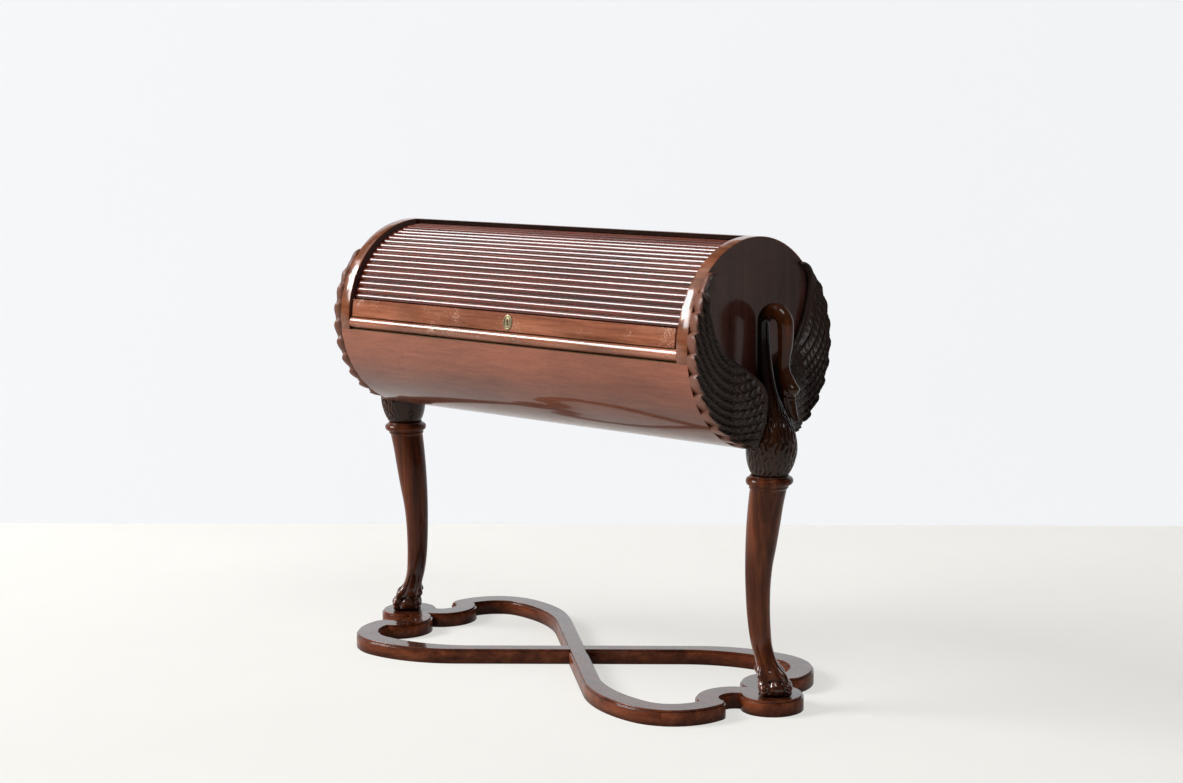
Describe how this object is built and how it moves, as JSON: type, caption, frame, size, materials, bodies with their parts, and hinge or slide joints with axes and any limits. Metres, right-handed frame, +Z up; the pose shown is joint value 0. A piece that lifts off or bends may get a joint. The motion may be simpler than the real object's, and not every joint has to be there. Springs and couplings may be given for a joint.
{
  "type": "cylinder desk",
  "caption": "Drum-shaped desk on carved swan supports, legs on claw-and-ball feet and a scrolled strap base; a slatted tambour rolls up, a writing board and inner drawers slide out.",
  "frame": {"origin": "on the floor under the middle of the base, where its straps cross", "axes": "+X along the drum, +Y from the front to the back, +Z up"},
  "size_m": [1.2502, 0.518, 0.969],
  "materials": {
    "mahogany_casing": "polished veneer, red-brown, worn and speckled",
    "mahogany_rail": "polished, lighter and worn on the edges",
    "mahogany_slat": "polished reeding, dark red-brown",
    "mahogany_panel": "polished, dark brown",
    "mahogany_carved": "carved, dark, waxed",
    "mahogany_turned": "turned, glossy dark red-brown",
    "mahogany_base": "polished, dark, worn arrises",
    "mahogany_interior": "satin interior wood",
    "secondary_wood": "plain planed softwood, unpolished",
    "aged_brass": "aged, satin",
    "bolt_steel": "filed steel",
    "writing_leather": "dark green hide, matt",
    "canvas": "plain woven linen canvas"
  },
  "bodies": {
    "carcass": {"base_end_left": "mahogany_base", "base_end_right": "mahogany_base", "base_strap_over": "mahogany_base", "base_strap_under": "mahogany_base", "board_runners": "secondary_wood", "casing_staves": "secondary_wood", "casing_veneer": "mahogany_casing", "drawer_case_dividers": "mahogany_interior", "drawer_case_top": "mahogany_interior", "end_panel_left": "mahogany_panel", "end_panel_right": "mahogany_panel", "front_rail": "secondary_wood", "inner_back": "secondary_wood", "inner_floor": "mahogany_interior", "leg_dowels": "secondary_wood", "leg_left": "mahogany_turned", "leg_right": "mahogany_turned", "swan_left": "mahogany_carved", "swan_right": "mahogany_carved", "top_rail": "mahogany_rail", "wing_front_left": "mahogany_carved", "wing_front_right": "mahogany_carved", "wing_rear_left": "mahogany_carved", "wing_rear_right": "mahogany_carved"},
    "tambour": {"slat_01": "mahogany_slat", "slat_02": "mahogany_slat", "slat_03": "mahogany_slat", "slat_04": "mahogany_slat", "slat_05": "mahogany_slat", "slat_06": "mahogany_slat", "slat_07": "mahogany_slat", "slat_08": "mahogany_slat", "slat_09": "mahogany_slat", "slat_10": "mahogany_slat", "slat_11": "mahogany_slat", "slat_12": "mahogany_slat", "slat_13": "mahogany_slat", "slat_14": "mahogany_slat", "slat_15": "mahogany_slat", "slat_16": "mahogany_slat", "slat_17": "mahogany_slat", "slat_18": "mahogany_slat", "slat_19": "mahogany_slat", "lock_rail": "mahogany_rail", "lock_case": "aged_brass", "lock_bolt": "bolt_steel", "escutcheon": "aged_brass", "canvas_backing": "canvas"},
    "writing_slide": {"writing_board": "mahogany_interior", "writing_leather": "writing_leather", "board_nosing": "mahogany_rail"},
    "drawer_left": {"drawer_left_front": "mahogany_interior", "drawer_left_box": "secondary_wood", "drawer_left_knob": "aged_brass"},
    "drawer_middle": {"drawer_middle_front": "mahogany_interior", "drawer_middle_box": "secondary_wood", "drawer_middle_knob": "aged_brass"},
    "drawer_right": {"drawer_right_front": "mahogany_interior", "drawer_right_box": "secondary_wood", "drawer_right_knob": "aged_brass"}
  },
  "joints": [
    {"name": "tambour_roll", "type": "hinge", "parent": "carcass", "child": "tambour", "pos_m": [0, 0, 0.754], "axis": [-1, 0, 0], "range_deg": [0, 75]},
    {"name": "board_slide", "type": "slide", "parent": "carcass", "child": "writing_slide", "axis": [0, -1, 0], "range_m": [0, 0.22]},
    {"name": "drawer_left_slide", "type": "slide", "parent": "carcass", "child": "drawer_left", "axis": [0, -1, 0], "range_m": [0, 0.11]},
    {"name": "drawer_middle_slide", "type": "slide", "parent": "carcass", "child": "drawer_middle", "axis": [0, -1, 0], "range_m": [0, 0.11]},
    {"name": "drawer_right_slide", "type": "slide", "parent": "carcass", "child": "drawer_right", "axis": [0, -1, 0], "range_m": [0, 0.11]}
  ]
}
